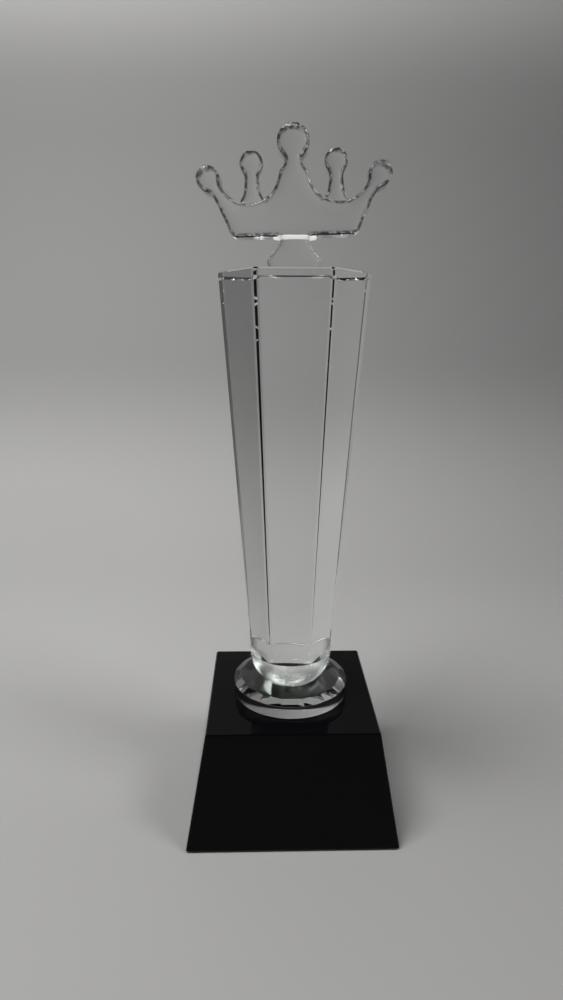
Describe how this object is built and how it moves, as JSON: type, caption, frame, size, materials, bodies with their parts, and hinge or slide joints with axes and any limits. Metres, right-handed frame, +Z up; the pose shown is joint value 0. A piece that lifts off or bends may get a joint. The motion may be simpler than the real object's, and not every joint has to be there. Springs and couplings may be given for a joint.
{
  "type": "crystal award",
  "caption": "Clear crystal award: a crown casting on a tapered six-sided column, bonded to a faceted disc and a black crystal block.",
  "frame": {"origin": "centre of the resting face, on the underside of the soft pad", "axes": "+Z up along the column, +X to the right seen from the front, front of the award towards -Y"},
  "size_m": [0.08, 0.08, 0.255],
  "materials": {
    "foam_pad": "matte closed-cell foam",
    "black_crystal": "polished black crystal, opaque",
    "bond_resin": "cured clear resin",
    "disc_crystal": "polished clear crystal, faceted",
    "column_crystal": "polished clear crystal",
    "crown_crystal": "fire-polished pressed crystal"
  },
  "bodies": {
    "root": {"base_pad": "foam_pad", "base_block": "black_crystal", "base_bond": "bond_resin", "disc": "disc_crystal", "disc_bond": "bond_resin", "column": "column_crystal", "crown_bond": "bond_resin", "crown": "crown_crystal"}
  },
  "joints": []
}
